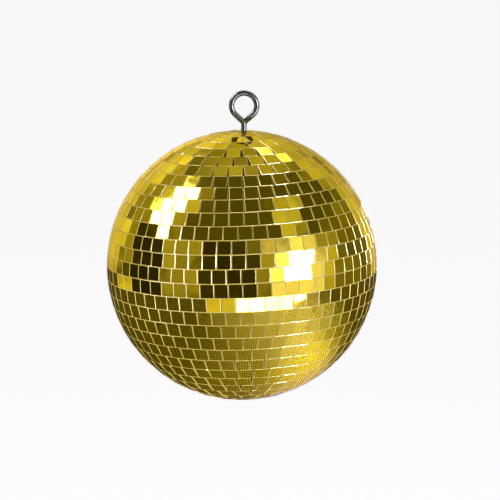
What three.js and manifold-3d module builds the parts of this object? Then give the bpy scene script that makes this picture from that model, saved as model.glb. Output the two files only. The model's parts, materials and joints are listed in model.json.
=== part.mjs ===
// Mirror ball, 8 inch: rows of square gold mirror tiles on scrim tape, glued to a hollow two-part
// plastic core that turns freely on a bent-wire eye bolt.
//
// Units are millimetres and +Z is up. The origin is the point inside the top of the eye where a hook
// or ring bears, so the whole ball hangs below it. The eye lies in the XZ plane.

import * as THREE from 'three';
import Module from 'manifold-3d';
import { mergeVertices } from 'three/addons/utils/BufferGeometryUtils.js';

const wasm = await Module();
wasm.setup();

// ---------------------------------------------------------------- driving dimensions

// The mirror skin.
const BALL_RADIUS = 101.6;
const TILE_SIDE = 9.7;
const TILE_JOINT = 0.5; // the narrowest joint left between two tiles
const GLASS = 1.8;
const SCRIM = 0.5; // woven tape that carries a row, with its glue
const SKIN_LEAN = THREE.MathUtils.degToRad(2.7); // the rows were laid a little askew to the bolt
const CAP_HOLE_CLEARANCE = 0.9; // left round the shank by the cut pieces at the top

// The core.
const SHELL_WALL = 2.5;
const SPIGOT_HEIGHT = 6;
const SPIGOT_WALL = 1.4;
const SPIGOT_INSET = 0.3; // the spigot stands in this far from the wall's inner face

// The eye bolt: one length of round steel wire.
const WIRE_RADIUS = 2.1;
const EYE_INNER_RADIUS = 7.25;
const LEG_ANGLE = THREE.MathUtils.degToRad(48); // the eye's legs, off the vertical
const NECK_BEND = 3; // centreline radius where a leg turns into the shank
const SHANK_SHOWN = 4.9; // straight wire between the neck's bend and the mirror skin
const THREAD_END = 2; // wire that shows below the nut

// What hangs the core on the bolt, from the top down.
const BUSH_RUNNING_CLEARANCE = 0.08;
const BUSH_WALL = 2;
const BUSH_FLANGE_RADIUS = 9;
const BUSH_FLANGE = 1.5;
const PLATE_RADIUS = 23;
const PLATE_THICKNESS = 1.5;
const SLIP_WASHER_RADIUS = 8;
const SLIP_WASHER_THICKNESS = 1;
const STEEL_WASHER_RADIUS = 7.5;
const STEEL_WASHER_THICKNESS = 1;
const NUT_ACROSS_FLATS = 8;
const NUT_HEX_HEIGHT = 3.6;
const NUT_COLLAR_HEIGHT = 1.5;
const NUT_COLLAR_WALL = 0.5;

// Gaps between pieces that touch or nearly touch.
const GAP = 0.3;
const PLATE_GAP = 0.5; // the plate beds on a curved wall

// How finely round things are cut.
const WIRE_SIDES = 12;
const WIRE_STEPS = 84;
const SMALL_SIDES = 24;
const SHELL_SIDES = 28;
const SHELL_STEP = THREE.MathUtils.degToRad(9);
const PLATE_STEPS = 3;
const ROW_MIN_SIDES = 30;
const CAP_SIDES = 12;

// ---------------------------------------------------------------- sizes that follow from them

const skinThickness = GLASS + SCRIM;
const tilePitch = TILE_SIDE + TILE_JOINT;

// The eye, in its own plane: the ring's centreline, where its legs would meet, and the neck below.
const ringRadius = EYE_INNER_RADIUS + WIRE_RADIUS;
const ringCentreZ = -EYE_INNER_RADIUS;
const legsMeetZ = ringCentreZ - ringRadius / Math.sin(LEG_ANGLE);
const neckZ = legsMeetZ - NECK_BEND * Math.tan(LEG_ANGLE / 2);
const ballCentreZ = neckZ - SHANK_SHOWN - BALL_RADIUS;

// An odd number of rows, so that one lies along the equator.
const rowsThatFit = Math.floor((Math.PI * BALL_RADIUS) / tilePitch);
const rowCount = rowsThatFit % 2 === 1 ? rowsThatFit : rowsThatFit - 1;
const rowAngle = Math.PI / rowCount;
const equatorRow = (rowCount - 1) / 2;

// A row is as full as its edge nearer the pole allows, so its joints open towards the equator.
function tilesInRow(latitude) {
  const edgeRadius = BALL_RADIUS * Math.cos(Math.abs(latitude) + rowAngle / 2);
  return Math.floor((2 * Math.PI * edgeRadius) / tilePitch);
}

// The core fills the skin, less the glue line. A tile's flat back comes closest at its middle.
const flatnessLoss = Math.cos(Math.PI / tilesInRow(0));
const shellOuter = (BALL_RADIUS - skinThickness) * flatnessLoss - GAP;
const shellInner = shellOuter - SHELL_WALL;
const spigotInner = shellInner - SPIGOT_INSET;
const spigotOuter = spigotInner + SPIGOT_WALL;

// The cap of cut pieces at each pole reaches as far as the first row's joint.
const capRadius = TILE_SIDE;

// Radii of what the shank goes through.
const shankHole = WIRE_RADIUS + GAP;
const bushBore = WIRE_RADIUS + BUSH_RUNNING_CLEARANCE;
const bushRadius = bushBore + BUSH_WALL;
const bushHole = bushRadius + GAP;
const capHole = WIRE_RADIUS + CAP_HOLE_CLEARANCE;

// Heights of the hanging parts, measured up from the ball's centre.
const plateOuter = shellInner - PLATE_GAP;
const plateInner = plateOuter - PLATE_THICKNESS;
const flangeTop = heightOnSphere(plateInner, BUSH_FLANGE_RADIUS) - PLATE_GAP;
const flangeBottom = flangeTop - BUSH_FLANGE;
const slipWasherTop = flangeBottom - GAP;
const slipWasherBottom = slipWasherTop - SLIP_WASHER_THICKNESS;
const steelWasherTop = slipWasherBottom - GAP;
const steelWasherBottom = steelWasherTop - STEEL_WASHER_THICKNESS;
const nutTop = steelWasherBottom - GAP;
const nutCollarTop = nutTop - NUT_HEX_HEIGHT;
const nutBottom = nutCollarTop - NUT_COLLAR_HEIGHT;
const boltEnd = nutBottom - THREAD_END;

// ---------------------------------------------------------------- materials

function finish(color, roughness, metalness) {
  return new THREE.MeshStandardMaterial({ color, roughness, metalness });
}

const goldMirror = finish('#d9b81c', 0.06, 1);
const corePlastic = finish('#2b2a27', 0.6, 0);
const polishedSteel = finish('#b9bab8', 0.16, 1);
const zincSteel = finish('#9da0a3', 0.38, 1);
const blackZinc = finish('#70757a', 0.42, 1);
const whiteNylon = finish('#e9e6da', 0.55, 0);
const naturalNylon = finish('#d8d2bd', 0.5, 0);
const blueNylon = finish('#3b6fa8', 0.5, 0);

// ---------------------------------------------------------------- helpers

function heightOnSphere(radius, distanceFromAxis) {
  return Math.sqrt(radius * radius - distanceFromAxis * distanceFromAxis);
}

// Points of an arc about the ball's centre, as (distance from axis, height), by angle from the top.
function sphereArc(radius, fromAngle, toAngle, step = SHELL_STEP) {
  const steps = Math.ceil(Math.abs(toAngle - fromAngle) / step - 1e-9);
  const points = [];
  for (let i = 0; i <= steps; i += 1) {
    const angle = fromAngle + ((toAngle - fromAngle) * i) / steps;
    points.push(new THREE.Vector2(radius * Math.sin(angle), radius * Math.cos(angle)));
  }
  return points;
}

function angleFromTop(radius, distanceFromAxis) {
  return Math.asin(distanceFromAxis / radius);
}

// Turns an outline of (distance from axis, height) about the Z axis. The outline runs anticlockwise.
function turned(outline, sides) {
  const geometry = new THREE.LatheGeometry(outline, sides);
  geometry.rotateX(Math.PI / 2);
  return geometry;
}

function closed(outline) {
  return [...outline, outline[0].clone()];
}

function ringOutline(innerRadius, outerRadius, bottom, top) {
  return closed([
    new THREE.Vector2(innerRadius, bottom),
    new THREE.Vector2(outerRadius, bottom),
    new THREE.Vector2(outerRadius, top),
    new THREE.Vector2(innerRadius, top),
  ]);
}

function mesh(name, geometry, material) {
  const made = new THREE.Mesh(geometry, material);
  made.name = name;
  return made;
}

// A closed geometry as a solid that can be cut, and back.
function toSolid(geometry) {
  const bare = geometry.clone();
  bare.deleteAttribute('normal');
  bare.deleteAttribute('uv');
  const merged = mergeVertices(bare, 1e-5);
  const vertProperties = new Float32Array(merged.attributes.position.array);
  const triVerts = new Uint32Array(merged.index.array);
  return new wasm.Manifold(new wasm.Mesh({ numProp: 3, vertProperties, triVerts }));
}

function toGeometry(solid) {
  const cut = solid.getMesh();
  const geometry = new THREE.BufferGeometry();
  geometry.setAttribute('position', new THREE.BufferAttribute(cut.vertProperties, 3));
  geometry.setIndex(new THREE.BufferAttribute(cut.triVerts, 1));
  geometry.computeVertexNormals();
  return geometry;
}

// ---------------------------------------------------------------- the eye bolt

// A flat path of lines and arcs, stood up in the XZ plane.
class StandingCurve extends THREE.Curve {
  constructor(flatPath) {
    super();
    this.flatPath = flatPath;
  }

  getPoint(t, target = new THREE.Vector3()) {
    const flat = this.flatPath.getPointAt(t);
    return target.set(flat.x, 0, flat.y);
  }
}

// The wire's centreline: up the shank, out along the left leg, round the eye clockwise, and back down
// the right leg, whose sawn end stops against the neck without a weld.
function wireCentreline() {
  const path = new THREE.Path();
  path.moveTo(0, ballCentreZ + boltEnd);
  path.lineTo(0, neckZ);
  path.absarc(-NECK_BEND, neckZ, NECK_BEND, 0, LEG_ANGLE, false);
  path.absarc(0, ringCentreZ, ringRadius, Math.PI + LEG_ANGLE, -LEG_ANGLE, true);
  const stop = legStop();
  path.lineTo(Math.sin(LEG_ANGLE) * stop, legsMeetZ + Math.cos(LEG_ANGLE) * stop);
  return path;
}

// How far up the right leg, from where the legs would meet, the wire's sawn end has to stop so that
// the near corner of its end face clears the outside of the neck's bend.
function legStop() {
  const across = Math.sin(LEG_ANGLE);
  const down = Math.cos(LEG_ANGLE);
  const clearRadius = NECK_BEND + WIRE_RADIUS + GAP;
  const cornerX = NECK_BEND - WIRE_RADIUS * down;
  const cornerZ = legsMeetZ - neckZ + WIRE_RADIUS * across;
  const half = across * cornerX + down * cornerZ;
  const rest = cornerX * cornerX + cornerZ * cornerZ - clearRadius * clearRadius;
  return -half + Math.sqrt(half * half - rest);
}

function eyeBolt() {
  const section = new THREE.Shape();
  section.absarc(0, 0, WIRE_RADIUS, 0, 2 * Math.PI, false);
  const geometry = new THREE.ExtrudeGeometry(section, {
    steps: WIRE_STEPS,
    curveSegments: WIRE_SIDES / 2, // for each half of the circle
    extrudePath: new StandingCurve(wireCentreline()),
  });
  return mesh('eye_bolt', geometry, polishedSteel);
}

// ---------------------------------------------------------------- what is threaded on the shank

// A plain washer or ring about the shank, between two heights above the ball's centre.
function shankRing(name, innerRadius, outerRadius, bottom, top, material) {
  const outline = ringOutline(innerRadius, outerRadius, bottom, top);
  return mesh(name, turned(outline, SMALL_SIDES), material);
}

function slipWasher() {
  const radius = SLIP_WASHER_RADIUS;
  return shankRing('slip_washer', shankHole, radius, slipWasherBottom, slipWasherTop, whiteNylon);
}

function steelWasher() {
  const radius = STEEL_WASHER_RADIUS;
  return shankRing('steel_washer', shankHole, radius, steelWasherBottom, steelWasherTop, zincSteel);
}

// Radius of the recess that the nut's collar holds its nylon ring in.
const nutRecess = NUT_ACROSS_FLATS / 2 - NUT_COLLAR_WALL;

// A hexagon with a round collar below it, bored for the shank and recessed for the nylon ring.
function lockNut() {
  const hexCorner = NUT_ACROSS_FLATS / 2 / Math.cos(Math.PI / 6);
  const hexagon = turned([
    new THREE.Vector2(0, nutCollarTop),
    new THREE.Vector2(hexCorner, nutCollarTop),
    new THREE.Vector2(hexCorner, nutTop),
    new THREE.Vector2(0, nutTop),
  ], 6);
  const collar = turned([
    new THREE.Vector2(0, nutBottom),
    new THREE.Vector2(NUT_ACROSS_FLATS / 2, nutBottom),
    new THREE.Vector2(NUT_ACROSS_FLATS / 2, nutCollarTop + GAP),
    new THREE.Vector2(0, nutCollarTop + GAP),
  ], SMALL_SIDES);
  const bore = turned([
    new THREE.Vector2(0, nutBottom - 1),
    new THREE.Vector2(nutRecess, nutBottom - 1),
    new THREE.Vector2(nutRecess, nutCollarTop),
    new THREE.Vector2(shankHole, nutCollarTop),
    new THREE.Vector2(shankHole, nutTop + 1),
    new THREE.Vector2(0, nutTop + 1),
  ], SMALL_SIDES);
  const solid = toSolid(hexagon).add(toSolid(collar)).subtract(toSolid(bore));
  return mesh('lock_nut', toGeometry(solid), blackZinc);
}

function nutInsert() {
  const bottom = nutBottom + GAP;
  const top = nutCollarTop - GAP;
  return shankRing('nut_insert', shankHole, nutRecess - GAP, bottom, top, blueNylon);
}

// ---------------------------------------------------------------- the core and what carries it

// A nylon sleeve through the core's top, with a flange under the load plate.
function topBush() {
  const bore = bushBore / Math.cos(Math.PI / SMALL_SIDES); // the bore's flats clear the shank too
  const outline = closed([
    new THREE.Vector2(bore, flangeBottom),
    new THREE.Vector2(BUSH_FLANGE_RADIUS, flangeBottom),
    new THREE.Vector2(BUSH_FLANGE_RADIUS, flangeTop),
    new THREE.Vector2(bushRadius, flangeTop),
    new THREE.Vector2(bushRadius, shellOuter - GAP),
    new THREE.Vector2(bore, shellOuter - GAP),
  ]);
  return mesh('top_bush', turned(outline, SMALL_SIDES), naturalNylon);
}

// A dished steel disc that spreads the pull of the bolt over the core's top.
function loadPlate() {
  const rimAngle = angleFromTop(plateOuter, PLATE_RADIUS);
  const step = rimAngle / PLATE_STEPS;
  const below = sphereArc(plateInner, angleFromTop(plateInner, bushHole), rimAngle, step);
  const above = sphereArc(plateOuter, rimAngle, angleFromTop(plateOuter, bushHole), step);
  return mesh('load_plate', turned(closed([...below, ...above]), SHELL_SIDES), zincSteel);
}

// The upper half of the core: a hole for the bush at the top, and a socket round the rim.
function upperShell() {
  const socketRadius = spigotOuter + GAP;
  const socketTop = SPIGOT_HEIGHT + GAP;
  const innerRim = Math.acos(socketTop / shellInner);
  const outline = closed([
    ...sphereArc(shellOuter, Math.PI / 2, angleFromTop(shellOuter, bushHole)),
    ...sphereArc(shellInner, angleFromTop(shellInner, bushHole), innerRim),
    new THREE.Vector2(socketRadius, socketTop),
    new THREE.Vector2(socketRadius, 0),
  ]);
  return mesh('upper_shell', turned(outline, SHELL_SIDES), corePlastic);
}

// The lower half: a plain bowl whose rim carries a spigot that is glued into the socket.
function lowerShell() {
  const outerRim = Math.acos(-GAP / shellOuter);
  const innerRim = Math.acos(-SPIGOT_HEIGHT / shellInner);
  const outline = [
    ...sphereArc(shellOuter, Math.PI, outerRim),
    new THREE.Vector2(spigotOuter, -GAP),
    new THREE.Vector2(spigotOuter, SPIGOT_HEIGHT),
    new THREE.Vector2(spigotInner, SPIGOT_HEIGHT),
    ...sphereArc(shellInner, innerRim, Math.PI),
  ];
  outline[0].x = 0; // exactly on the axis, where sin(pi) isn't quite
  outline[outline.length - 1].x = 0;
  return mesh('lower_shell', turned(outline, SHELL_SIDES), corePlastic);
}

// ---------------------------------------------------------------- the mirror skin

function rowName(index) {
  return `mirror_row_${String(index + 1).padStart(2, '0')}`;
}

// One row of tiles on its tape: a flat-sided hoop, with one side for each tile. Rows of few tiles near
// a pole get two or more sides for each tile, so that their corners stay clear of the next row.
function mirrorRow(index) {
  const latitude = (equatorRow - index) * rowAngle;
  const tiles = tilesInRow(latitude);
  const sides = tiles * Math.ceil(ROW_MIN_SIDES / tiles);
  const outward = new THREE.Vector2(Math.cos(latitude), Math.sin(latitude));
  const upward = new THREE.Vector2(-Math.sin(latitude), Math.cos(latitude));
  const corner = (depth, side) => outward.clone().multiplyScalar(BALL_RADIUS - depth)
    .addScaledVector(upward, (side * TILE_SIDE) / 2);
  const outline = closed([
    corner(skinThickness, -1),
    corner(0, -1),
    corner(0, 1),
    corner(skinThickness, 1),
  ]);
  return mesh(rowName(index), turned(outline, sides), goldMirror);
}

// The small disc of cut pieces that closes the skin at a pole. The top one is cut round the shank,
// which stands off the skin's own pole because the rows lean.
function mirrorCap(index) {
  const isTop = index === 0;
  const disc = new THREE.Shape();
  for (let i = 0; i < CAP_SIDES; i += 1) {
    const angle = (2 * Math.PI * i) / CAP_SIDES;
    const x = capRadius * Math.cos(angle);
    const y = capRadius * Math.sin(angle);
    if (i === 0) disc.moveTo(x, y);
    else disc.lineTo(x, y);
  }
  if (isTop) {
    const hole = new THREE.Path();
    const shankOffset = BALL_RADIUS * Math.tan(SKIN_LEAN);
    hole.absarc(shankOffset, 0, capHole, 0, 2 * Math.PI, true);
    disc.holes.push(hole);
  }
  const geometry = new THREE.ExtrudeGeometry(disc, {
    depth: skinThickness,
    curveSegments: CAP_SIDES / 2, // for each half of the hole
    bevelEnabled: false,
  });
  geometry.translate(0, 0, isTop ? BALL_RADIUS - skinThickness : -BALL_RADIUS);
  return mesh(rowName(index), geometry, goldMirror);
}

function mirrorSkin() {
  const skin = new THREE.Group();
  skin.rotation.y = -SKIN_LEAN;
  for (let index = 0; index < rowCount; index += 1) {
    const atPole = index === 0 || index === rowCount - 1;
    skin.add(atPole ? mirrorCap(index) : mirrorRow(index));
  }
  return skin;
}

// ---------------------------------------------------------------- assembly

const mirrorBall = new THREE.Group();
mirrorBall.add(eyeBolt());

const aboutBallCentre = new THREE.Group();
aboutBallCentre.position.z = ballCentreZ;
aboutBallCentre.add(slipWasher(), steelWasher(), lockNut(), nutInsert());
aboutBallCentre.add(topBush(), loadPlate(), upperShell(), lowerShell(), mirrorSkin());
mirrorBall.add(aboutBallCentre);

export default mirrorBall;
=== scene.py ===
# %% [markdown]
# # A gold mirror ball on its eye bolt
#
# The ball is some 1,160 small square mirrors in rows, glued to a hollow core that turns on a bent-wire
# eye bolt. Its size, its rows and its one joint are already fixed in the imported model, the frame. This
# lesson builds what the eye sees around that frame: each mirror as a piece of cut glass of its own, the
# woven tape behind it, the bent wire, and a small studio for them to reflect. Everything is in metres.

# %% Load the frame
import json
import math
import random

import bmesh
import bpy
from mathutils import Matrix, Quaternion, Vector

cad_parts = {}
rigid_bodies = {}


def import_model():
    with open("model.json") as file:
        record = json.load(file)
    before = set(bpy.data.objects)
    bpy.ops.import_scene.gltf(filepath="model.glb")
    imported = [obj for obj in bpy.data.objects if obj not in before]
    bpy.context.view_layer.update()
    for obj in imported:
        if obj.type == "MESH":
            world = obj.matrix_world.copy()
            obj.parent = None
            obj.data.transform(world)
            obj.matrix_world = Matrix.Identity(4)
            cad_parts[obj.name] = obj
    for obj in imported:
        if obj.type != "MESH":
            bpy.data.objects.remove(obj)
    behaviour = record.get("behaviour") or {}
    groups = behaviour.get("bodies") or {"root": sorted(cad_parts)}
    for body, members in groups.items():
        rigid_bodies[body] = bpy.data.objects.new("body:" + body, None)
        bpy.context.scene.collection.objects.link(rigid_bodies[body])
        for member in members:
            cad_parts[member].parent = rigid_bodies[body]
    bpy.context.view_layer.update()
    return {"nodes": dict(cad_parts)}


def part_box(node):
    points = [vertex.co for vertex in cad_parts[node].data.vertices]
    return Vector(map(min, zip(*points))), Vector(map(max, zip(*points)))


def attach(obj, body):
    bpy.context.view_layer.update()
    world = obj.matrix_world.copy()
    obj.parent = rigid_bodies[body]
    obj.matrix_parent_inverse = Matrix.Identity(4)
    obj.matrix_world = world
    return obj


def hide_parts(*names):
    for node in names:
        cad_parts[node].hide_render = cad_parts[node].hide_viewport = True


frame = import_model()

MM = 0.001

# %% [markdown]
# ## What the frame says
#
# Every place comes from the frame. The widest row gives the ball's centre and radius. The rows were
# laid a little askew to the bolt, and the line between the second row and the last but one gives the
# way they lean, so the mirrors are built upright about the origin and then turned into place together.

# %% Read the ball's centre, radius and lean
Z_AXIS = Vector((0, 0, 1))


def middle(node):
    low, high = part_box(node)
    return (low + high) / 2


row_nodes = sorted(name for name in frame["nodes"] if name.startswith("mirror_row_"))
row_count = len(row_nodes)
equator_node = row_nodes[row_count // 2]
equator_low, equator_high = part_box(equator_node)
ball_centre = middle(equator_node)
ball_radius = (equator_high.y - equator_low.y) / 2
skin_axis = (middle(row_nodes[1]) - middle(row_nodes[-2])).normalized()
skin_turn = Z_AXIS.rotation_difference(skin_axis)
skin_place = Matrix.Translation(ball_centre) @ skin_turn.to_matrix().to_4x4()
print("rows:", row_count, "radius, mm:", round(ball_radius / MM, 2),
      "lean, degrees:", round(math.degrees(skin_turn.angle), 2))

# %% [markdown]
# ## The camera
#
# A long lens, fifteen ball radii away and a little above the ball, looks down at it by about ten
# degrees. Such a lens shows a sphere as a true circle and hardly narrows the rows to the sides. The
# camera is rolled by less than a degree, and aims a little up and to the right of the ball's centre.

# %% Place the camera
CAMERA_DISTANCE = 15 * ball_radius
CAMERA_ELEVATION = math.radians(10.6)
CAMERA_ROLL = math.radians(0.8)
LENS_MM = 145.6
AIM_RIGHT = 6.1 * MM
AIM_UP = 11.2 * MM

toward_camera = Vector((0, -math.cos(CAMERA_ELEVATION), math.sin(CAMERA_ELEVATION)))
level_right = Vector((1, 0, 0))
level_up = toward_camera.cross(level_right)
camera_right = level_right * math.cos(CAMERA_ROLL) + level_up * math.sin(CAMERA_ROLL)
camera_up = level_up * math.cos(CAMERA_ROLL) - level_right * math.sin(CAMERA_ROLL)
camera_point = ball_centre + toward_camera * CAMERA_DISTANCE
aim_point = ball_centre + camera_right * AIM_RIGHT + camera_up * AIM_UP
back = (camera_point - aim_point).normalized()
right = camera_up.cross(back).normalized()
turned_axes = Matrix((right, back.cross(right), back)).transposed()

camera = bpy.data.objects.new("camera", bpy.data.cameras.new("camera"))
bpy.context.scene.collection.objects.link(camera)
camera.matrix_world = Matrix.Translation(camera_point) @ turned_axes.to_4x4()
camera.data.lens = LENS_MM
camera.data.clip_start = 0.05
camera.data.clip_end = 300
bpy.context.scene.camera = camera
bpy.context.scene.view_settings.view_transform = "Standard"
print("camera at", [round(x, 3) for x in camera_point])

# %% [markdown]
# ## Small tools for materials
#
# A material here is a Principled shader with a few nodes before it. Three helpers keep each one short:
# one turns a hex colour to the linear values that Blender works in, one starts a material, and one adds
# a node with its settings and its links. Pattern scales are worked out from millimetres: noise of
# scale S repeats about every 1/S metres, so `per_mm` turns a real spacing into a scale.

# %% Helpers for colours and nodes


def colour(hex_code):
    """An sRGB hex colour, such as d9b81c, as linear red, green, blue and alpha."""
    channels = [int(hex_code[i:i + 2], 16) / 255 for i in (0, 2, 4)]
    linear = [c / 12.92 if c <= 0.04045 else ((c + 0.055) / 1.055) ** 2.4 for c in channels]
    return (*linear, 1.0)


def per_mm(spacing):
    """The scale of a pattern whose features are this many millimetres apart."""
    return 1 / (spacing * MM)


def new_material(name, **settings):
    """A material, its node tree and its Principled shader, with these inputs set on the shader."""
    material = bpy.data.materials.new(name)
    material.use_nodes = True
    shader = material.node_tree.nodes["Principled BSDF"]
    for key, value in settings.items():
        shader.inputs[key.replace("_", " ")].default_value = value
    return material, material.node_tree, shader


def add(tree, kind, settings=None, **inputs):
    """Adds a node. Settings are the node's own options. Inputs are set by name, or by i0, i1 and so on
    where names repeat; a value that is another node's output is linked."""
    made = tree.nodes.new(kind)
    for key, value in (settings or {}).items():
        setattr(made, key, value)
    for key, value in inputs.items():
        numbered = key[0] == "i" and key[1:].isdigit()
        socket = made.inputs[int(key[1:])] if numbered else made.inputs[key.replace("_", " ")]
        if isinstance(value, bpy.types.NodeSocket):
            tree.links.new(value, socket)
        else:
            socket.default_value = value
    return made


def link(tree, output, shader, name):
    tree.links.new(output, shader.inputs[name])


# %% [markdown]
# ## The mirror face
#
# Each tile is float glass, silvered on the back and lacquered gold. Light crosses the clear glass,
# turns back from the gold and comes out again, so the tile is a gold metal mirror under a thin clear
# coat. A metal keeps Blender's default IOR. Roughness starts at 0.02 for a clean mirror and rises in
# wiped smears. Each tile was cut from a different place on the sheet, so its tone differs a little:
# that tone is stored on the mesh, one number for each tile. Cheap glass is never quite flat, which a
# very weak, broad bump gives.

# %% Gold mirror glass
GOLD_TONES = ("ebc81c", "f7d828")
WAVE_SPACING = 14
SMEAR_SPACING = 30
SPECK_SPACING = 1.1


def make_gold_mirror():
    material, tree, shader = new_material(
        "gold_mirror_glass", Metallic=1.0, Specular_Tint=colour("f4dc4c"),
        Coat_Weight=0.15, Coat_Roughness=0.02)
    place = add(tree, "ShaderNodeTexCoord").outputs["Object"]
    tone = add(tree, "ShaderNodeAttribute", {"attribute_name": "tile_tone"}).outputs["Fac"]
    smears = add(tree, "ShaderNodeTexNoise", Vector=place, Scale=per_mm(SMEAR_SPACING), Detail=4.0)
    specks = add(tree, "ShaderNodeTexVoronoi", Vector=place, Scale=per_mm(SPECK_SPACING))
    speck = add(tree, "ShaderNodeMapRange", {"clamp": True}, Value=specks.outputs["Distance"],
                From_Min=0.03, From_Max=0.06, To_Min=1.0, To_Max=0.0)
    gold = add(tree, "ShaderNodeMix", {"data_type": "RGBA"}, i0=tone,
               i6=colour(GOLD_TONES[0]), i7=colour(GOLD_TONES[1]))
    wiped = add(tree, "ShaderNodeMapRange", Value=smears.outputs["Fac"],
                From_Min=0.45, From_Max=0.75, To_Min=0.02, To_Max=0.07)
    dusty = add(tree, "ShaderNodeMath", {"operation": "MULTIPLY_ADD"},
                i0=speck.outputs["Result"], i1=0.1, i2=wiped.outputs["Result"])
    waves = add(tree, "ShaderNodeTexNoise", Vector=place, Scale=per_mm(WAVE_SPACING), Detail=1.0)
    bump = add(tree, "ShaderNodeBump", Height=waves.outputs["Fac"], Strength=1.0,
               Distance=0.12 * MM)
    link(tree, gold.outputs[2], shader, "Base Color")
    link(tree, dusty.outputs["Value"], shader, "Roughness")
    link(tree, bump.outputs["Normal"], shader, "Normal")
    return material


# %% [markdown]
# ## The cut edge
#
# The tiles are scored, snapped and lightly ground, which rounds the rim of each face. The gold backing
# shines through the rim, so it is part mirror and part frosted straw-coloured glass: metallic 0.25,
# roughness about 0.2. As the rim is round, some part of it always flashes a light that stands to its
# side. That draws the pale lines between the tiles. Grit from the wheel shows as noise.

# %% Ground glass edge
GRIT_SPACING = 0.5


def make_ground_edge():
    material, tree, shader = new_material(
        "ground_glass_edge", IOR=1.52, Metallic=0.25, Specular_Tint=colour("ffe98a"))
    place = add(tree, "ShaderNodeTexCoord").outputs["Object"]
    grit = add(tree, "ShaderNodeTexNoise", Vector=place, Scale=per_mm(GRIT_SPACING), Detail=3.0)
    tint = add(tree, "ShaderNodeMix", {"data_type": "RGBA"}, i0=grit.outputs["Fac"],
               i6=colour("cdb23c"), i7=colour("f6e27a"))
    rough = add(tree, "ShaderNodeMapRange", Value=grit.outputs["Fac"],
                From_Min=0.3, From_Max=0.7, To_Min=0.16, To_Max=0.28)
    bump = add(tree, "ShaderNodeBump", Height=grit.outputs["Fac"], Strength=0.2, Distance=0.03 * MM)
    link(tree, tint.outputs[2], shader, "Base Color")
    link(tree, rough.outputs["Result"], shader, "Roughness")
    link(tree, bump.outputs["Normal"], shader, "Normal")
    return material


# %% [markdown]
# ## The scrim tape
#
# A row of tiles comes from the factory stuck to an open-weave cotton tape. Brown contact glue soaks
# the tape and darkens it. It only shows at the bottom of the joints and in the wedge-shaped gaps near
# the poles: matt cotton threads 0.8 mm apart, crossed, with glossier glue between them.

# %% Glued scrim
THREAD_SPACING = 0.8


def weave(tree, place, spacing):
    """Crossed threads as one height from 0 to 1, from two bands of waves at right angles."""
    bands = [
        add(tree, "ShaderNodeTexWave", {"bands_direction": way, "wave_profile": "SIN"},
            Vector=place, Scale=per_mm(spacing) * math.pi / 10, Distortion=0.4)
        for way in ("X", "Z")
    ]
    crossed = add(tree, "ShaderNodeMath", {"operation": "MULTIPLY"},
                  i0=bands[0].outputs["Fac"], i1=bands[1].outputs["Fac"])
    return crossed.outputs["Value"]


def make_glued_scrim():
    material, tree, shader = new_material("glued_cotton_scrim")
    place = add(tree, "ShaderNodeTexCoord").outputs["Object"]
    threads = weave(tree, place, THREAD_SPACING)
    tint = add(tree, "ShaderNodeMix", {"data_type": "RGBA"}, i0=threads,
               i6=colour("2a2008"), i7=colour("6e5a1e"))
    rough = add(tree, "ShaderNodeMapRange", Value=threads, To_Min=0.35, To_Max=0.85)
    bump = add(tree, "ShaderNodeBump", Height=threads, Strength=0.6, Distance=0.1 * MM)
    link(tree, tint.outputs[2], shader, "Base Color")
    link(tree, rough.outputs["Result"], shader, "Roughness")
    link(tree, bump.outputs["Normal"], shader, "Normal")
    return material


# %% Make the three materials of the skin
gold_mirror = make_gold_mirror()
ground_edge = make_ground_edge()
glued_scrim = make_glued_scrim()
SKIN_MATERIALS = (gold_mirror, ground_edge)
MIRROR_INDEX, EDGE_INDEX = 0, 1
print("skin materials:", [m.name for m in (gold_mirror, ground_edge, glued_scrim)])

# %% [markdown]
# ## One piece of cut glass
#
# Every tile, whole or cut, is the same thing: a flat outline with a thickness, and a narrow slope, the
# arris, ground along the front edges, more on two sides than on the other two. So one function makes
# them all from an outline. It lays four loops of points, at the back, at the shoulder below the arris,
# round the front, and just inside that, and bridges them. The score is on the front, and the break runs
# in a little below it, so the back is smaller. The front is one flat face, because a mirror that isn't
# flat doesn't flash as a tile. The bands round it are shaded smooth, but not round the corners, so that
# each side reads as one long round rim, which catches the same light in every row.

# %% A slab of glass from its outline
GLASS = 1.8 * MM
ARRIS_SIDES = 0.17 * MM
ARRIS_ENDS = 0.2 * MM
ARRIS_DEPTH = 0.16 * MM
BREAK = 0.1 * MM
RIM = 0.06 * MM
SHARPEST = 0.2  # keeps the inset of a splinter's sharp corner from running away


def inset(outline, distance):
    """A convex anticlockwise outline, moved inwards by this distance on every side."""
    moved = []
    count = len(outline)
    for i, corner in enumerate(outline):
        before = (corner - outline[i - 1]).normalized()
        after = (outline[(i + 1) % count] - corner).normalized()
        half = (before - after).normalized()
        lean = abs(before.x * half.y - before.y * half.x)
        moved.append(corner - half * distance / max(lean, SHARPEST))
    return moved


def ground_back(outline):
    """The outline of the front face: each corner drawn in by the arris of its two sides."""
    centre = sum(outline, Vector((0, 0))) / len(outline)
    for corner in outline:
        off = corner - centre
        yield corner - Vector((math.copysign(min(ARRIS_SIDES, abs(off.x)), off.x),
                               math.copysign(min(ARRIS_ENDS, abs(off.y)), off.y)))


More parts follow.
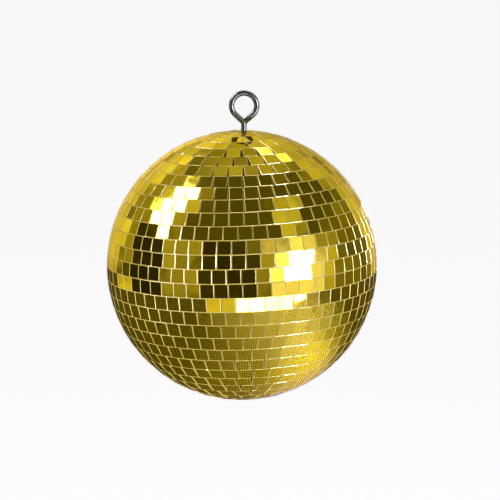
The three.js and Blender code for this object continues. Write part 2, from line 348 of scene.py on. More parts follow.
def add_slab(mesh, outline, place, tone):
    """Adds one slab of glass to a bmesh. Its back lies in the plane of place, a matrix."""
    tones = mesh.faces.layers.float["tile_tone"]
    face_edge = list(ground_back(outline))
    levels = [(inset(outline, BREAK), 0), (outline, GLASS - ARRIS_DEPTH), (face_edge, GLASS),
              (inset(face_edge, RIM), GLASS)]
    loops = [[mesh.verts.new(place @ Vector((p.x, p.y, z))) for p in flat] for flat, z in levels]
    faces = [mesh.faces.new(loops[0][::-1])]
    count = len(outline)
    for lower, upper in zip(loops, loops[1:]):
        for i in range(count):
            j = (i + 1) % count
            faces.append(mesh.faces.new((lower[i], lower[j], upper[j], upper[i])))
    for face in faces:
        face.material_index = EDGE_INDEX
    for face in faces[1:]:
        face.smooth = True
    for lower, upper in zip(loops, loops[1:]):
        for pair in zip(lower, upper):
            mesh.edges.get(pair).smooth = False
    front = mesh.faces.new(loops[-1])
    front.material_index = MIRROR_INDEX
    for face in (*faces, front):
        face[tones] = tone


def new_slab_mesh():
    mesh = bmesh.new()
    mesh.faces.layers.float.new("tile_tone")
    return mesh


# %% [markdown]
# ## From a mesh to a piece of the ball
#
# Each finished mesh becomes one object that rides on a body of the frame, so that it turns with the
# ball, and hides the imported node it stands for.

# %% Finish a piece


def finish_piece(name, mesh, materials, body, nodes=(), smooth=False):
    """Turns a bmesh into an object of the scene that rides on a body."""
    data = bpy.data.meshes.new(name)
    mesh.to_mesh(data)
    mesh.free()
    for material in materials:
        data.materials.append(material)
    if smooth:
        data.shade_smooth()
    piece = bpy.data.objects.new(name, data)
    bpy.context.scene.collection.objects.link(piece)
    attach(piece, body)
    if nodes:
        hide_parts(*nodes)
    return piece


# %% [markdown]
# ## The rows of tiles
#
# A row holds as many square tiles, just under 10 mm wide, as fit round its edge nearer the pole, with
# at least a quarter of a millimetre between them. A flat tile doesn't taper, so the joints are narrow
# on that side and open towards the equator, and near the poles they open into dark wedges. The people
# who glue the strips start each row where the last roll ended, so the joints of two rows seldom line
# up. They also leave small errors: a tile a little askew, a face tilted by a fraction of a degree, a
# chipped corner. The tilt matters most, because a mirror's reflection moves by twice the angle. All of
# it is random with a fixed seed, so every run lays the same ball.

# %% Lay the rows
TILE = 9.95 * MM
JOINT = 0.25 * MM
ROW_JOINT = 0.15 * MM
FACE_INSET = 0.25 * MM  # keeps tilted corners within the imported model
TILT = math.radians(0.45)
UNEVEN_RING = 0.5  # rings smaller than this share of the widest row lie less flat
SKEW = math.radians(0.4)
SLIP = 0.05 * MM
CUT_ERROR = 0.05 * MM
CHIP_SHARE = 0.05
WEDGE_LEAST = 3.0 * MM
WEDGE_TIP = 0.6 * MM
CHIP = (0.3 * MM, 0.9 * MM)
LAYING_SEED = 31
START_SEED = 11441668
row_starts = {}

dice = random.Random(LAYING_SEED)
starts = random.Random(START_SEED)
row_angle = math.pi / row_count
row_height = ball_radius * row_angle - ROW_JOINT


def tiles_in_row(latitude):
    edge_radius = ball_radius * math.cos(abs(latitude) + row_angle / 2)
    return int(2 * math.pi * edge_radius / (TILE + JOINT))


def square_outline():
    """A tile's outline, with the small errors of cutting, and now and then a chipped corner."""
    signs = ((-1, -1), (1, -1), (1, 1), (-1, 1))
    corners = [Vector((x * TILE / 2 + dice.uniform(-1, 1) * CUT_ERROR,
                       y * row_height / 2 + dice.uniform(-1, 1) * CUT_ERROR)) for x, y in signs]
    if dice.random() < CHIP_SHARE:
        k = dice.randrange(4)
        corner, chip = corners[k], dice.uniform(*CHIP)
        to_last = (corners[k - 1] - corner).normalized() * chip
        to_next = (corners[(k + 1) % 4] - corner).normalized() * chip
        corners[k:k + 1] = [corner + to_last, corner + to_next]
    return corners


def on_sphere(latitude, longitude, depth):
    """Where a tile's back sits: X along the row, Y towards the north pole, Z outwards."""
    outward = Vector((math.cos(latitude) * math.cos(longitude),
                      math.cos(latitude) * math.sin(longitude), math.sin(latitude)))
    along = Vector((-math.sin(longitude), math.cos(longitude), 0))
    axes = Matrix((along, outward.cross(along), outward)).transposed().to_4x4()
    return Matrix.Translation(outward * (ball_radius - depth)) @ axes


def hand_laid(latitude):
    """The small turn and shift of a tile laid by hand. The small rings near the poles lie less flat."""
    spread = TILT * max(1, UNEVEN_RING / math.cos(latitude))
    tilt = Matrix.Rotation(dice.gauss(0, spread), 4, "X")
    tilt = tilt @ Matrix.Rotation(dice.gauss(0, spread), 4, "Y")
    skew = Matrix.Rotation(dice.gauss(0, SKEW), 4, "Z")
    slip = Matrix.Translation((dice.gauss(0, SLIP), dice.gauss(0, SLIP), 0))
    return slip @ tilt @ skew


def wedge_outline(latitude, count):
    """The cut piece between two tiles of a row, or nothing if the space is too narrow to fill."""
    widths = []
    for edge in (-1, 1):
        edge_radius = ball_radius * math.cos(latitude + edge * row_angle / 2)
        widths.append(2 * math.pi * edge_radius / count - TILE - 2 * JOINT)
    if max(widths) < WEDGE_LEAST:
        return None
    low, high = (max(width, WEDGE_TIP) / 2 for width in widths)
    half = row_height / 2
    return [Vector(c) for c in ((-low, -half), (low, -half), (high, half), (-high, half))]


def lay_row(node, latitude):
    """One row of tiles, as one piece made of separate slabs."""
    mesh = new_slab_mesh()
    count = tiles_in_row(latitude)
    start = row_starts[node] = starts.random()
    wedge = wedge_outline(latitude, count)
    for i in range(count):
        longitude = 2 * math.pi * (i + start) / count
        place = skin_place @ on_sphere(latitude, longitude, GLASS + FACE_INSET) @ hand_laid(latitude)
        add_slab(mesh, square_outline(), place, dice.random())
        if wedge:
            longitude += math.pi / count
            place = skin_place @ on_sphere(latitude, longitude, GLASS + FACE_INSET) @ hand_laid(latitude)
            add_slab(mesh, wedge, place, dice.random())
    name = node.replace("mirror_row", "tiles_row")
    finish_piece(name, mesh, SKIN_MATERIALS, "ball", [node])
    return count


tile_total = 0
row_latitudes = [(row_count // 2 - i) * row_angle for i in range(row_count)]
for node, latitude in list(zip(row_nodes, row_latitudes))[1:-1]:
    tile_total += lay_row(node, latitude)
print("whole tiles:", tile_total)

# %% [markdown]
# ## The cut pieces at the poles
#
# No whole row fits round a pole. The six tiles nearest to it leave a six-sided space, which is filled
# with splinters cut from spare tiles. At the top they fan about the hole for the shank. At the bottom
# they meet in a point. They are slabs like the others, with outlines of their own, and they sit less
# evenly than the rows do.

# %% Fill the poles
SHANK_ROOM = 2.8 * MM
POINT_ROOM = 0.5 * MM
SPLINTER_GAP = 0.15 * MM
CUT_SPREAD = 0.1
TOP_TILT = math.radians(3)
POINT_TILT = math.radians(1.5)
POLE_SEED = 1
pole_dice = random.Random(POLE_SEED)


def polar(angle, distance):
    return Vector((math.cos(angle) * distance, math.sin(angle) * distance))


def splinter_outlines(neighbour, latitude, hole, room):
    """Wedges between a hole and the tiles of the row next to the pole."""
    sides = tiles_in_row(latitude)
    to_side = ball_radius * math.cos(abs(latitude) + row_angle / 2) - JOINT
    first = 2 * math.pi * row_starts[neighbour] / sides
    corners = []
    for i in range(sides):
        for share in (0, 0.5 + dice.uniform(-CUT_SPREAD, CUT_SPREAD)):
            off = (share - 0.5) * 2 * math.pi / sides
            corners.append(polar(first + i * 2 * math.pi / sides + off, to_side / math.cos(off)))
    for i, far in enumerate(corners):
        far_next = corners[(i + 1) % len(corners)]
        near, near_next = (hole + (p - hole).normalized() * room for p in (far, far_next))
        yield inset([near, far, far_next, near_next], SPLINTER_GAP)


def fill_pole(node, neighbour, latitude, hole, room, spread):
    """Lays the splinters of one pole on the flat end of the ball."""
    mesh = new_slab_mesh()
    up = math.copysign(1, latitude)
    for outline in splinter_outlines(neighbour, latitude, hole, room):
        centre = sum(outline, Vector((0, 0))) / len(outline)
        about = [corner - centre for corner in outline]
        if up < 0:  # mirrored, so that the outline still runs anticlockwise seen from outside
            about = [Vector((corner.x, -corner.y)) for corner in about[::-1]]
        tilt = Matrix.Rotation(pole_dice.gauss(0, spread), 4, "X")
        tilt = tilt @ Matrix.Rotation(pole_dice.gauss(0, spread), 4, "Y")
        flip = Matrix.Rotation(0 if up > 0 else math.pi, 4, "X")
        back = Vector((centre.x, centre.y, up * (ball_radius - GLASS - 2 * FACE_INSET)))
        add_slab(mesh, about, skin_place @ Matrix.Translation(back) @ flip @ tilt, dice.random())
    name = node.replace("mirror_row", "tiles_row")
    finish_piece(name, mesh, SKIN_MATERIALS, "ball", [node])


shank_offset = ball_radius * math.tan(skin_turn.angle)
top_hole, point = Vector((shank_offset, 0)), Vector((0, 0))
fill_pole(row_nodes[0], row_nodes[1], row_latitudes[1], top_hole, SHANK_ROOM, TOP_TILT)
fill_pole(row_nodes[-1], row_nodes[-2], row_latitudes[-2], point, POINT_ROOM, POINT_TILT)
print("poles filled, shank off the skin's pole by", round(shank_offset / MM, 2), "mm")

# %% [markdown]
# ## The tape behind the rows
#
# Each row's scrim is a thin hoop just behind its tiles. It is drawn as a closed ring with a square
# section, flat-sided like the row, so that it stays in the half millimetre between glass and core.

# %% Wind the scrim
SCRIM = 0.5 * MM
SCRIM_GAP = 0.02 * MM
SCRIM_SIDES = 96


def hoop(mesh, outline, sides):
    """Turns a closed outline of (radius, height) about Z, placed on the skin, into a bmesh."""
    rings = []
    for i in range(sides):
        angle = 2 * math.pi * i / sides
        ring = [mesh.verts.new(skin_place @ Vector((r * math.cos(angle), r * math.sin(angle), z)))
                for r, z in outline]
        rings.append(ring)
    count = len(outline)
    for i in range(sides):
        here, there = rings[i], rings[(i + 1) % sides]
        for k in range(count):
            j = (k + 1) % count
            mesh.faces.new((here[k], there[k], there[j], here[j]))


def wind_scrim(index, latitude):
    outward = Vector((math.cos(latitude), math.sin(latitude)))
    upward = Vector((-math.sin(latitude), math.cos(latitude)))
    back_of_glass = ball_radius * math.cos(math.pi / tiles_in_row(0)) - GLASS - FACE_INSET
    outline = []
    for depth, side in ((SCRIM, -1), (SCRIM_GAP, -1), (SCRIM_GAP, 1), (SCRIM, 1)):
        outline.append(outward * (back_of_glass - depth) + upward * side * (TILE + JOINT) / 2)
    mesh = bmesh.new()
    hoop(mesh, outline, SCRIM_SIDES)
    finish_piece(f"scrim_row_{index + 1:02d}", mesh, [glued_scrim], "ball")


for index in range(1, row_count - 1):
    wind_scrim(index, row_latitudes[index])
print("scrim hoops:", row_count - 2)

# %% [markdown]
# ## The eye bolt
#
# The bolt is one length of 4.2 mm drawn steel wire. It is bent on a former to a round eye, closed with
# two straight legs, and set at the neck into the shank. The second leg is filed to sit against the
# neck, and isn't welded. It is swept here as a real bend is made: lines and arcs for the centreline,
# and a round section carried along it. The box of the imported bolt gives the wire's thickness, the
# eye's size and the shank's length.

# %% Lay out the wire's centreline
bolt_low, bolt_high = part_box("eye_bolt")
wire = (bolt_high.y - bolt_low.y) / 2
ring = (bolt_high.x - bolt_low.x) / 2 - wire
ring_centre = bolt_high.z - wire - ring
LEG_ANGLE = math.radians(48)
NECK_BEND = 3 * MM
LEG_CLEARANCE = 0.12 * MM
ARC_STEP = math.radians(5)

across, down = math.sin(LEG_ANGLE), math.cos(LEG_ANGLE)
legs_meet = ring_centre - ring / across
neck = legs_meet - NECK_BEND * math.tan(LEG_ANGLE / 2)


def arc(centre_x, centre_z, radius, first, last):
    """Points of an arc in the plane of the eye, without its first point."""
    steps = max(2, round(abs(last - first) / ARC_STEP))
    for i in range(1, steps + 1):
        angle = first + (last - first) * i / steps
        yield Vector((centre_x + radius * math.cos(angle), centre_z + radius * math.sin(angle)))


THREAD_ABOVE_NUT = 1.5 * MM
LEG_INSIDE = 1.5  # where the second leg ends before it is filed, in wire radii above the neck
thread_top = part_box("lock_nut")[1].z + THREAD_ABOVE_NUT
THREAD_STEP = 0.1 * MM
thread_steps = round((thread_top - bolt_low.z) / THREAD_STEP)
centreline = [Vector((0, bolt_low.z + (thread_top - bolt_low.z) * i / thread_steps))
              for i in range(thread_steps + 1)]
centreline.append(Vector((0, neck)))
centreline.extend(arc(-NECK_BEND, neck, NECK_BEND, 0, LEG_ANGLE))
centreline.append(Vector((-ring * down, ring_centre - ring * across)))
bend_end = len(centreline)
centreline.extend(arc(0, ring_centre, ring, math.pi + LEG_ANGLE, -LEG_ANGLE))
first_leg = list(centreline[:bend_end])
leg_start = LEG_INSIDE * wire
centreline.append(Vector((across * leg_start, legs_meet + down * leg_start)))
print("wire, mm:", round(2 * wire / MM, 2), "eye, mm:", round(2 * (ring + wire) / MM, 2))

# %% [markdown]
# The shank's lower end carries a rolled thread, hidden in the nut. Its section swells and narrows with
# a saw wave that climbs by one pitch in each turn. Its tip is a little rounded by the file. The other
# end is filed hollow: each line of the second leg runs on until it all but touches the neck.

# %% Sweep the wire
WIRE_SIDES = 40
THREAD_PITCH = 0.8 * MM
THREAD_DEPTH = 0.2 * MM
END_ROUND = 0.35 * MM
TIP_SHARES = (0, 0.12, 0.4, 1.0)
SLIDE_STEP = 0.05 * MM


def wire_radius(point, angle, to_tip):
    """The wire's radius at a point of the centreline, at an angle round it."""
    radius = wire
    if point.x == 0 and point.y < thread_top:
        turn = (point.y - bolt_low.z) / THREAD_PITCH - angle / (2 * math.pi)
        saw = abs(2 * (turn % 1) - 1)
        fade = min(1, (thread_top - point.y) / THREAD_PITCH)
        radius += (saw - 0.5) * THREAD_DEPTH * fade
    if to_tip < END_ROUND:
        short = 1 - to_tip / END_ROUND
        radius -= END_ROUND * (1 - math.sqrt(max(0, 1 - short * short)))
    return radius


def to_first_leg(spot):
    """How far a point is from the centreline of the shank, the neck and the first leg."""
    nearest = 1.0
    flat = Vector((spot.x, spot.z))
    for start, end in zip(first_leg[thread_steps:], first_leg[thread_steps + 1:]):
        way = end - start
        share = max(0, min(1, (flat - start).dot(way) / way.length_squared))
        nearest = min(nearest, (flat - start - way * share).length)
    return math.hypot(nearest, spot.y)


def slide_to_neck(spot):
    """Moves a point down the second leg until it is just clear of the neck."""
    while to_first_leg(spot) > wire + LEG_CLEARANCE and spot.x > 0:
        spot = spot - Vector((across, 0, down)) * SLIDE_STEP
    return spot


def sweep_wire():
    tip = centreline[0]
    points = [tip + Vector((0, END_ROUND * share)) for share in TIP_SHARES]
    points += [point for point in centreline[1:] if point.y > points[-1].y]
    mesh = bmesh.new()
    rings = []
    for i, point in enumerate(points):
        ahead = points[min(i + 1, len(points) - 1)] - points[max(i - 1, 0)]
        side = Vector((ahead.y, 0, -ahead.x)).normalized()
        ring_points = []
        for k in range(WIRE_SIDES):
            angle = 2 * math.pi * k / WIRE_SIDES
            out = side * math.cos(angle) + Vector((0, 1, 0)) * math.sin(angle)
            radius = wire_radius(point, angle, point.y - tip.y)
            spot = Vector((point.x, 0, point.y)) + out * radius
            if i == len(points) - 1:
                spot = slide_to_neck(spot)
            ring_points.append(mesh.verts.new(spot))
        rings.append(ring_points)
    for here, there in zip(rings, rings[1:]):
        for k in range(WIRE_SIDES):
            j = (k + 1) % WIRE_SIDES
            mesh.faces.new((here[k], here[j], there[j], there[k]))
    mesh.faces.new(rings[0][::-1])
    mesh.faces.new(rings[-1])
    bmesh.ops.recalc_face_normals(mesh, faces=mesh.faces)
    return mesh


# %% [markdown]
# The wire is plated bright: a nickel or chrome skin over drawn steel. Metal keeps the default IOR. The
# plating is smooth, but the former leaves rubbed patches and handling leaves marks, so the roughness
# wanders between 0.03 and 0.08.

# %% Bright plated wire
RUB_SPACING = 5
MARK_SPACING = 0.9


def make_plated_wire():
    material, tree, shader = new_material(
        "bright_plated_steel", Base_Color=colour("a9abac"), Metallic=1.0)
    place = add(tree, "ShaderNodeTexCoord").outputs["Object"]
    rubs = add(tree, "ShaderNodeTexNoise", Vector=place, Scale=per_mm(RUB_SPACING), Detail=5.0)
    marks = add(tree, "ShaderNodeTexNoise", Vector=place, Scale=per_mm(MARK_SPACING), Detail=2.0)
    rough = add(tree, "ShaderNodeMapRange", Value=rubs.outputs["Fac"],
                From_Min=0.35, From_Max=0.7, To_Min=0.03, To_Max=0.08)
    bump = add(tree, "ShaderNodeBump", Height=marks.outputs["Fac"], Strength=0.05,
               Distance=0.01 * MM)
    link(tree, rough.outputs["Result"], shader, "Roughness")
    link(tree, bump.outputs["Normal"], shader, "Normal")
    return material


plated_wire = make_plated_wire()
bolt = finish_piece("eye_bolt_wire", sweep_wire(), [plated_wire], "hanger",
                    ["eye_bolt"], smooth=True)
print("eye bolt:", len(bolt.data.vertices), "points")

# %% [markdown]
# ## The pieces inside
#
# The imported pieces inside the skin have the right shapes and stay. Each gets the finish it has on the
# real ball, and a narrow rounded edge where a press or a mould leaves one. There are two kinds:
#
# * Zinc plate on pressed steel: metallic, default IOR, roughness about 0.3. Zinc grows in fine crystals
#   and is passivated, so it has a grain and a faint blue to straw bloom.
# * Moulded plastic. The core is black polystyrene, IOR 1.59, from a spark-eroded mould, so it is matt
#   and finely pitted. The bush, the slip washer and the nut's ring are nylon, IOR 1.53, which is satin
#   and lets a little light in. Flow marks from the moulding make broad, faint changes of gloss.

# %% Zinc plate and moulded plastic
CRYSTAL_SPACING = 0.35
BLOOM_SPACING = 9
PIT_SPACING = 0.5
FLOW_SPACING = 18


def make_zinc_plate(name, dark, light, least_rough, most_rough):
    material, tree, shader = new_material(name, Metallic=1.0)
    place = add(tree, "ShaderNodeTexCoord").outputs["Object"]
    bloom = add(tree, "ShaderNodeTexNoise", Vector=place, Scale=per_mm(BLOOM_SPACING), Detail=4.0)
    crystals = add(tree, "ShaderNodeTexVoronoi", Vector=place, Scale=per_mm(CRYSTAL_SPACING))
    tint = add(tree, "ShaderNodeMix", {"data_type": "RGBA"}, i0=bloom.outputs["Fac"],
               i6=colour(dark), i7=colour(light))
    rough = add(tree, "ShaderNodeMapRange", Value=crystals.outputs["Distance"],
                From_Max=0.7, To_Min=least_rough, To_Max=most_rough)
    bump = add(tree, "ShaderNodeBump", Height=crystals.outputs["Distance"], Strength=0.15,
               Distance=0.02 * MM)
    link(tree, tint.outputs[2], shader, "Base Color")
    link(tree, rough.outputs["Result"], shader, "Roughness")
    link(tree, bump.outputs["Normal"], shader, "Normal")
    return material


def make_moulded_plastic(name, dark, light, least_rough, most_rough, pit_depth, **settings):
    material, tree, shader = new_material(name, **settings)
    place = add(tree, "ShaderNodeTexCoord").outputs["Object"]
    flow = add(tree, "ShaderNodeTexNoise", Vector=place, Scale=per_mm(FLOW_SPACING), Detail=3.0,
               Distortion=1.5)
    pits = add(tree, "ShaderNodeTexNoise", Vector=place, Scale=per_mm(PIT_SPACING), Detail=2.0)
    tint = add(tree, "ShaderNodeMix", {"data_type": "RGBA"}, i0=flow.outputs["Fac"],
               i6=colour(dark), i7=colour(light))
    rough = add(tree, "ShaderNodeMapRange", Value=flow.outputs["Fac"],
                From_Min=0.3, From_Max=0.7, To_Min=least_rough, To_Max=most_rough)
    bump = add(tree, "ShaderNodeBump", Height=pits.outputs["Fac"], Strength=0.4,
               Distance=pit_depth)
    link(tree, tint.outputs[2], shader, "Base Color")
    link(tree, rough.outputs["Result"], shader, "Roughness")
    link(tree, bump.outputs["Normal"], shader, "Normal")
    return material


# %% Finish the pieces inside
EASED_EDGE = 0.12 * MM
EASED_ANGLE = math.radians(40)

bright_zinc = make_zinc_plate("bright_zinc_plate", "a9b0ba", "cbc9bc", 0.22, 0.38)
dull_zinc = make_zinc_plate("dull_zinc_plate", "7d838c", "9d9c92", 0.32, 0.5)
black_core = make_moulded_plastic("moulded_black_polystyrene", "0c0c0b", "1c1c1a", 0.45, 0.62,
                                  0.04 * MM, IOR=1.59)
white_nylon = make_moulded_plastic("moulded_white_nylon", "e2dfd2", "f2f0e6", 0.3, 0.42, 0.01 * MM,
                                   IOR=1.53, Subsurface_Weight=0.3, Subsurface_Scale=1.0 * MM)
plain_nylon = make_moulded_plastic("moulded_natural_nylon", "cfc5a8", "e2dac2", 0.3, 0.45, 0.01 * MM,
                                   IOR=1.53, Subsurface_Weight=0.4, Subsurface_Scale=1.5 * MM)
blue_nylon = make_moulded_plastic("moulded_blue_nylon", "31608f", "4b7fb0", 0.3, 0.42, 0.01 * MM,
                                  IOR=1.53, Subsurface_Weight=0.15, Subsurface_Scale=0.5 * MM)
INNER_FINISH = {
    "upper_shell": black_core,
    "lower_shell": black_core,
    "load_plate": bright_zinc,
    "steel_washer": bright_zinc,
    "lock_nut": dull_zinc,
    "nut_insert": blue_nylon,
    "top_bush": plain_nylon,
    "slip_washer": white_nylon,
}
for node, finish in INNER_FINISH.items():
    inner = frame["nodes"][node]
    if not inner.material_slots:
        inner.data.materials.append(finish)
    for material_slot in inner.material_slots:
        material_slot.material = finish
    eased = inner.modifiers.new("eased_edges", "BEVEL")
    eased.width = EASED_EDGE
    eased.segments = 2
    eased.limit_method = "ANGLE"
    eased.angle_limit = EASED_ANGLE
    eased.harden_normals = True
print("pieces finished inside:", len(INNER_FINISH))

# %% [markdown]
# ## The studio
#
# A mirror ball shows its room, tile by tile, so the room matters as much as the ball. It is a ring of
# cards round the ball: two bright softboxes, the halo round each, pale walls, and black flags. Every
# card faces the ball and glows evenly, a little cloudy, and fades toward its edges by its softness.
# They are named for what they are, with their bearing from the camera's side, their height above the
# horizon, their width, height and roll in degrees, and their distance, brightness and softness. Only
# mirrors see them. The frosted edges are lit by two large fills, above and below.
#
# The brightest cards are treated apart. Gold takes most of the blue out of what it mirrors, and a very
# bright card would look lemon yellow in it, so these are lit by cool daylight, which gold turns to a
# pale cream. They are clear, so one doesn't hide another, and they light the skin alone. The plated
# wire would burn out in them, so each has a dim, neutral twin just behind it, which lights the wire.

# %% Set up the cards
CARDS = (
    # name, bearing, elevation, width, height, roll, distance in metres, brightness, softness
    ("key_softbox", 46, 7, 23, 20, 0, 1.9, 160.0, 0.12),
    ("key_halo", 45, 5, 50, 42, 0, 2.1, 0.95, 0.9),
    ("key_wall", 46, 3, 54, 48, 0, 2.3, 0.91, 0.15),
    ("key_wall_left", 18, 4, 15, 44, 0, 2.35, 0.32, 0.5),
    ("key_wall_right", 80, 4, 18, 44, 0, 2.35, 0.5, 0.5),
    ("high_softbox", -88, 41, 28, 36, 0, 1.9, 18.0, 0.15),
    ("high_halo", -86, 43, 50, 50, 0, 2.1, 0.7, 0.7),
    ("table_light", 33, -21, 74, 15, 3, 1.7, 16.0, 0.1),
    ("table_corner", -19, -23, 26, 14, 0, 1.7, 0.8, 0.1),
    ("left_rail", -117, -15, 20, 6, 0, 2.2, 0.7, 0.4),
    ("side_wall", -52, 6, 30, 46, 0, 2.6, 0.38, 0.15),
    ("front_cloud", 12, 23, 26, 16, 0, 2.38, 0.22, 0.8),
    ("front_flag", -10, 4, 62, 44, 0, 2.4, 0.04, 0.1),
    ("side_flag", -87, 4, 34, 40, 0, 2.4, 0.03, 0.1),
    ("left_low_wall", -128, 2, 16, 20, 0, 2.7, 0.85, 0.3),
    ("left_wall", -155, 18, 48, 62, 0, 3.0, 0.85, 0.2),
    ("left_haze", -118, 20, 30, 54, 0, 3.2, 0.35, 0.4),
    ("right_screen", 57, 46, 26, 32, 0, 2.6, 0.6, 0.3),
    ("right_wall", 108, 4, 60, 60, 0, 3.0, 0.18, 0.3),
    ("rear_right_wall", 158, 16, 58, 84, 0, 3.2, 0.6, 0.3),
    ("rear_window", 160, 54, 22, 14, 0, 2.9, 3.0, 0.6),
    ("rear_ceiling", 180, 71, 60, 44, 0, 3.3, 0.45, 0.6),
)
CLOUD_SHARE = 0.5
CLEAR_ABOVE = 0.9
WIRE_LIMIT = 2.5
TWIN_BEHIND = 10 * MM
FIRST_BOUNCE = 1.5
DAYLIGHT = colour("ffffff")
COOL_LIGHT = (1.0, 1.0, 3.2, 1.0)
CLOUDS_ACROSS = 3.0


def make_glow(name, strength, softness, light, clear_card):
    """A cloudy glow that fades to nothing toward the edges of a card. A clear card hides nothing, and
    shows only in a mirror that is seen directly, not in reflections of reflections."""
    material = bpy.data.materials.new(name)
    material.use_nodes = True
    tree = material.node_tree
    tree.nodes.clear()
    across = add(tree, "ShaderNodeTexCoord").outputs["Generated"]
    split = add(tree, "ShaderNodeSeparateXYZ", Vector=across)
    to_edge = []
    for side in ("X", "Y"):
        off = add(tree, "ShaderNodeMath", {"operation": "SUBTRACT"}, i0=split.outputs[side], i1=0.5)
        size = add(tree, "ShaderNodeMath", {"operation": "ABSOLUTE"}, i0=off.outputs["Value"])
        to_edge.append(add(tree, "ShaderNodeMapRange", {"interpolation_type": "SMOOTHSTEP"},
                           Value=size.outputs["Value"], From_Min=0.5, From_Max=0.5 - softness / 2))
    cover = add(tree, "ShaderNodeMath", {"operation": "MULTIPLY"},
                i0=to_edge[0].outputs["Result"], i1=to_edge[1].outputs["Result"])
    clouds = add(tree, "ShaderNodeTexNoise", Vector=across, Scale=CLOUDS_ACROSS, Detail=9.0,
                 Roughness=0.65)
    cloudy = add(tree, "ShaderNodeMapRange", Value=clouds.outputs["Fac"], From_Min=0.3, From_Max=0.7,
                 To_Min=strength * (1 - CLOUD_SHARE), To_Max=strength * (1 + CLOUD_SHARE))
    clear = add(tree, "ShaderNodeBsdfTransparent")
    if clear_card:
        depth = add(tree, "ShaderNodeLightPath").outputs["Ray Depth"]
        first = add(tree, "ShaderNodeMath", {"operation": "LESS_THAN"}, i0=depth, i1=FIRST_BOUNCE)
        shown = add(tree, "ShaderNodeMath", {"operation": "MULTIPLY"},
                    i0=first.outputs["Value"], i1=cover.outputs["Value"])
        fading = add(tree, "ShaderNodeMath", {"operation": "MULTIPLY"},
                     i0=cloudy.outputs["Result"], i1=shown.outputs["Value"])
        glow = add(tree, "ShaderNodeEmission", Color=light, Strength=fading.outputs["Value"])
        faded = add(tree, "ShaderNodeAddShader", i0=clear.outputs["BSDF"], i1=glow.outputs["Emission"])
    else:
        glow = add(tree, "ShaderNodeEmission", Color=light, Strength=cloudy.outputs["Result"])
        faded = add(tree, "ShaderNodeMixShader", i0=cover.outputs["Value"],
                    i1=clear.outputs["BSDF"], i2=glow.outputs["Emission"])
    end = add(tree, "ShaderNodeOutputMaterial")
    tree.links.new(faded.outputs["Shader"], end.inputs["Surface"])
    return material


def hang_card(name, bearing, elevation, width, height, roll, distance, strength, softness,
              light=DAYLIGHT, clear_card=False):
    """A flat card that faces the ball, seen only in mirrors."""
    turn, rise = math.radians(bearing), math.radians(elevation)
    way = Vector((math.sin(turn) * math.cos(rise), -math.cos(turn) * math.cos(rise), math.sin(rise)))
    half_wide = distance * math.tan(math.radians(width) / 2)
    half_high = distance * math.tan(math.radians(height) / 2)
    data = bpy.data.meshes.new(name)
    corners = [(-half_wide, -half_high, 0), (half_wide, -half_high, 0),
               (half_wide, half_high, 0), (-half_wide, half_high, 0)]
    data.from_pydata(corners, [], [(0, 1, 2, 3)])
    data.materials.append(make_glow(name, strength, softness, light, clear_card))
    card = bpy.data.objects.new(name, data)
    bpy.context.scene.collection.objects.link(card)
    card.rotation_mode = "QUATERNION"
    card.rotation_quaternion = (way.to_track_quat("Z", "Y")
                                @ Quaternion((0, 0, 1), math.radians(roll)))
    card.location = ball_centre + way * distance
    card.visible_camera = False
    card.visible_shadow = False
    card.visible_diffuse = False
    return card


def light_only(card, pieces, group):
    """Lets a card light these pieces and nothing else."""
    receivers = bpy.data.collections.new(group)
    for piece in pieces:
        receivers.objects.link(piece)
    card.light_linking.receiver_collection = receivers


skin_pieces = [thing for thing in bpy.data.objects if thing.name.startswith(("tiles_", "scrim_"))]
for card in CARDS:
    name, distance, strength, softness = card[0], *card[6:]
    if strength <= CLEAR_ABOVE:
        hang_card(*card)
        continue
    hung = hang_card(*card, COOL_LIGHT, True)
    dimmed = min(strength, WIRE_LIMIT)
    twin = hang_card(name + "_dimmed", *card[1:6], distance + TWIN_BEHIND, dimmed, softness,
                     DAYLIGHT, True)
    light_only(hung, skin_pieces, name + "_on_skin")
    light_only(twin, [bolt], name + "_on_wire")
FILLS = (
    ("overhead_fill", -10, 50, 80, 80, 0, 2.0, 1.8, 0.2),
    ("low_fill", 20, -42, 80, 60, 0, 2.0, 3.2, 0.2),
)
for fill in FILLS:
    hung = hang_card(*fill)
    hung.visible_glossy = False
    hung.visible_diffuse = True
print("cards:", len(CARDS), "and fills:", len(FILLS))

# %% [markdown]
# ## The floor, the cloth and the air
#
# The pale floor lies well below the hanging ball. What the lower half of the ball shows is nearer: a
# woven cloth on the table under it, seen only in the mirrors. Most of its light is painted on as
# emission: a dim even glow, and painted pools of key light and sheen at its front right, each given by
# its place on the cloth, its half lengths and its brightness. The painted key light is cool daylight, so
# the pools are too, and the rest of the cloth is neutral. A plain weave has about 0.9 mm between
# threads. Here it is drawn a little coarser, so that it still shows.

# %% Lay the floor and the cloth
FLOOR_DEPTH = 1.8
FLOOR_SIZE = 240.0
FLOOR_GLOW = 0.85
CLOTH_GAP = 8 * MM
CLOTH_LEFT, CLOTH_RIGHT = -0.42, 0.46
CLOTH_FRONT, CLOTH_BACK = -0.258, 0.55
CLOTH_THREADS = 1.05
CLOTH_TURN = math.radians(35)
# The cloth's dim even glow is painted light, drawn as emission.
CLOTH_PAINTED_GLOW = 0.33
# The cloth's light is painted: where it is this bright, its painted colour is all cool daylight.
CLOTH_PAINTED_COOL_FROM = 1.66  # where its light is this bright, the cloth is lit by cool daylight alone
# Painted pools of key light and sheen on the cloth, drawn as emission.
CLOTH_PAINTED_LIGHT_POOLS = (
    # x, y, half length across, half length along, turn in degrees, brightness
    (190 * MM, -190 * MM, 220 * MM, 340 * MM, 45, 2.3),
    (85 * MM, -40 * MM, 80 * MM, 150 * MM, 25, 2.4),
    (10 * MM, -230 * MM, 170 * MM, 110 * MM, 0, 0.7),
)


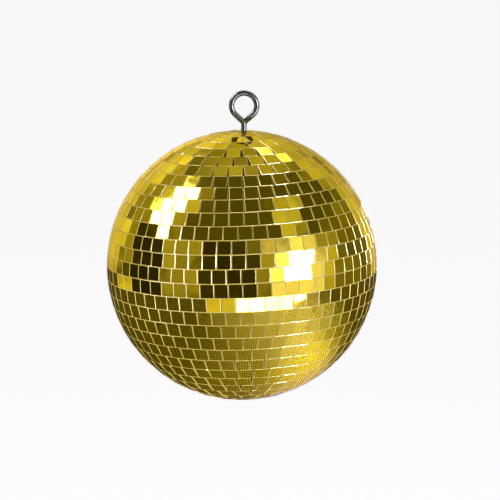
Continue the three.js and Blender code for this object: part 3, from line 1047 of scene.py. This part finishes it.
def flat_sheet(name, left, right, front, rear, height, material):
    data = bpy.data.meshes.new(name)
    corners = [(left, front, height), (right, front, height), (right, rear, height),
               (left, rear, height)]
    data.from_pydata(corners, [], [(0, 1, 2, 3)])
    data.materials.append(material)
    sheet = bpy.data.objects.new(name, data)
    bpy.context.scene.collection.objects.link(sheet)
    return sheet


def make_floor_paint():
    return new_material("pale_floor", Base_Color=colour("fbfbf9"), Roughness=0.9,
                        Emission_Color=DAYLIGHT, Emission_Strength=FLOOR_GLOW)[0]


def painted_light_pool(tree, place, patch):
    """The painted light of one pool of key light and sheen on the cloth: its brightness in the middle,
    and nothing beyond its half lengths.
    """
    x, y, across, along, turn, strength = patch
    local = add(tree, "ShaderNodeMapping", {"vector_type": "TEXTURE"}, Vector=place,
                Location=(x, y, 0), Rotation=(0, 0, math.radians(turn)), Scale=(across, along, 1))
    away = add(tree, "ShaderNodeVectorMath", {"operation": "LENGTH"}, i0=local.outputs["Vector"])
    light = add(tree, "ShaderNodeMapRange", {"interpolation_type": "SMOOTHSTEP"},
                Value=away.outputs["Value"], From_Min=1.0, From_Max=0.0, To_Min=0.0, To_Max=strength)
    return light.outputs["Result"]


def make_cloth_with_painted_light():
    material, tree, shader = new_material(
        "woven_cloth_painted_light", Base_Color=colour("202020"), Roughness=0.9, Specular_IOR_Level=0.0)
    place = add(tree, "ShaderNodeTexCoord").outputs["Object"]
    turned = add(tree, "ShaderNodeMapping", Vector=place,
                 Rotation=(math.pi / 2, 0, CLOTH_TURN))
    threads = weave(tree, turned.outputs["Vector"], CLOTH_THREADS)
    tint = add(tree, "ShaderNodeMix", {"data_type": "RGBA"}, i0=threads,
               i6=colour("303030"), i7=colour("ffffff"))
    flat = add(tree, "ShaderNodeMapping", Vector=place, Scale=(1, 1, 0))
    # The cloth's emission is all painted light: the even glow plus the painted pools of key light and
    # sheen, turned cool where bright.
    light = CLOTH_PAINTED_GLOW
    for patch in CLOTH_PAINTED_LIGHT_POOLS:
        more = painted_light_pool(tree, flat.outputs["Vector"], patch)
        both = add(tree, "ShaderNodeMath", {"operation": "ADD"}, i0=light, i1=more)
        light = both.outputs["Value"]
    cool = add(tree, "ShaderNodeMapRange", {"clamp": True}, Value=light, From_Min=CLOTH_PAINTED_GLOW,
               From_Max=CLOTH_PAINTED_COOL_FROM)
    painted_key_tint = add(tree, "ShaderNodeMix", {"data_type": "RGBA"}, i0=cool.outputs["Result"],
                   i6=DAYLIGHT, i7=COOL_LIGHT)
    lit = add(tree, "ShaderNodeMix", {"data_type": "RGBA", "blend_type": "MULTIPLY"}, i0=1.0,
              i6=tint.outputs[2], i7=painted_key_tint.outputs[2])
    link(tree, lit.outputs[2], shader, "Emission Color")
    link(tree, light, shader, "Emission Strength")
    return material


floor = flat_sheet("floor", -FLOOR_SIZE, FLOOR_SIZE, -FLOOR_SIZE, FLOOR_SIZE, -FLOOR_DEPTH,
                   make_floor_paint())
floor.visible_glossy = False
cloth_height = ball_centre.z - ball_radius - CLOTH_GAP
cloth = flat_sheet("cloth", CLOTH_LEFT, CLOTH_RIGHT, CLOTH_FRONT, CLOTH_BACK, cloth_height,
                   make_cloth_with_painted_light())
cloth.visible_camera = False
cloth.visible_shadow = False
cloth.visible_diffuse = False

# %% Fill the air
AIR_LIGHT = 0.085
SEEN_AIR = 0.96


def make_air():
    world = bpy.data.worlds.new("air")
    world.use_nodes = True
    tree = world.node_tree
    tree.nodes.clear()
    dim = add(tree, "ShaderNodeBackground", Color=(1, 1, 1, 1), Strength=AIR_LIGHT)
    pale = add(tree, "ShaderNodeBackground", Color=(1, 1, 1, 1), Strength=SEEN_AIR)
    seen = add(tree, "ShaderNodeLightPath").outputs["Is Camera Ray"]
    mixed = add(tree, "ShaderNodeMixShader", i0=seen, i1=dim.outputs[0], i2=pale.outputs[0])
    end = add(tree, "ShaderNodeOutputWorld")
    tree.links.new(mixed.outputs[0], end.inputs["Surface"])
    return world


bpy.context.scene.world = make_air()
print("floor", FLOOR_DEPTH, "m down; cloth", round(CLOTH_GAP / MM), "mm under the ball")
